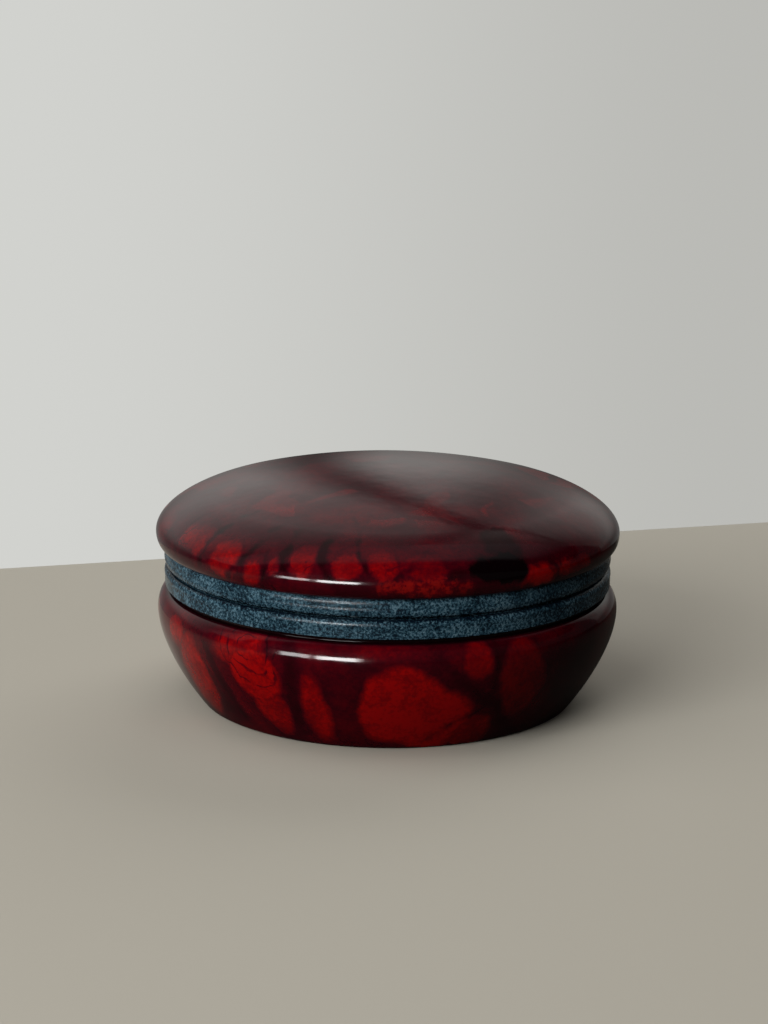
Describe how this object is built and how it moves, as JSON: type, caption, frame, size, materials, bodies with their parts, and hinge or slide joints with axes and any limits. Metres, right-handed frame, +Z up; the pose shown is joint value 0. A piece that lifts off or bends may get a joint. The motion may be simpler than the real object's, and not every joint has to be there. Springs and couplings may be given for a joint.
{
  "type": "hinged alabaster box",
  "caption": "Round lidded trinket box of red veined alabaster with a domed lid, bulged bowl and blue-grey stone rings at the seam, hinged at the back.",
  "frame": {"origin": "centre of the flat foot that the bowl stands on", "axes": "+Z up along the box's axis, +Y towards the hinge at the back, -Y towards the front"},
  "size_m": [0.126, 0.126, 0.0636],
  "materials": {
    "red_alabaster": "polished, translucent red with dark plum veins",
    "blue_stone": "satin, blue-grey with fine dark and pale speckle",
    "hinge_brass": "brushed, slightly tarnished"
  },
  "bodies": {
    "base": {"base_bowl": "red_alabaster", "base_ring": "blue_stone", "hinge_base_leaf": "hinge_brass", "hinge_pin": "hinge_brass", "base_screw_left": "hinge_brass", "base_screw_right": "hinge_brass"},
    "lid": {"lid_dome": "red_alabaster", "lid_ring": "blue_stone", "hinge_lid_leaf": "hinge_brass", "lid_screw_left": "hinge_brass", "lid_screw_right": "hinge_brass"}
  },
  "joints": [
    {"name": "lid_hinge", "type": "hinge", "parent": "base", "child": "lid", "pos_m": [0, 0.0598, 0.03735], "axis": [-1, 0, 0], "range_deg": [0, 100]}
  ]
}
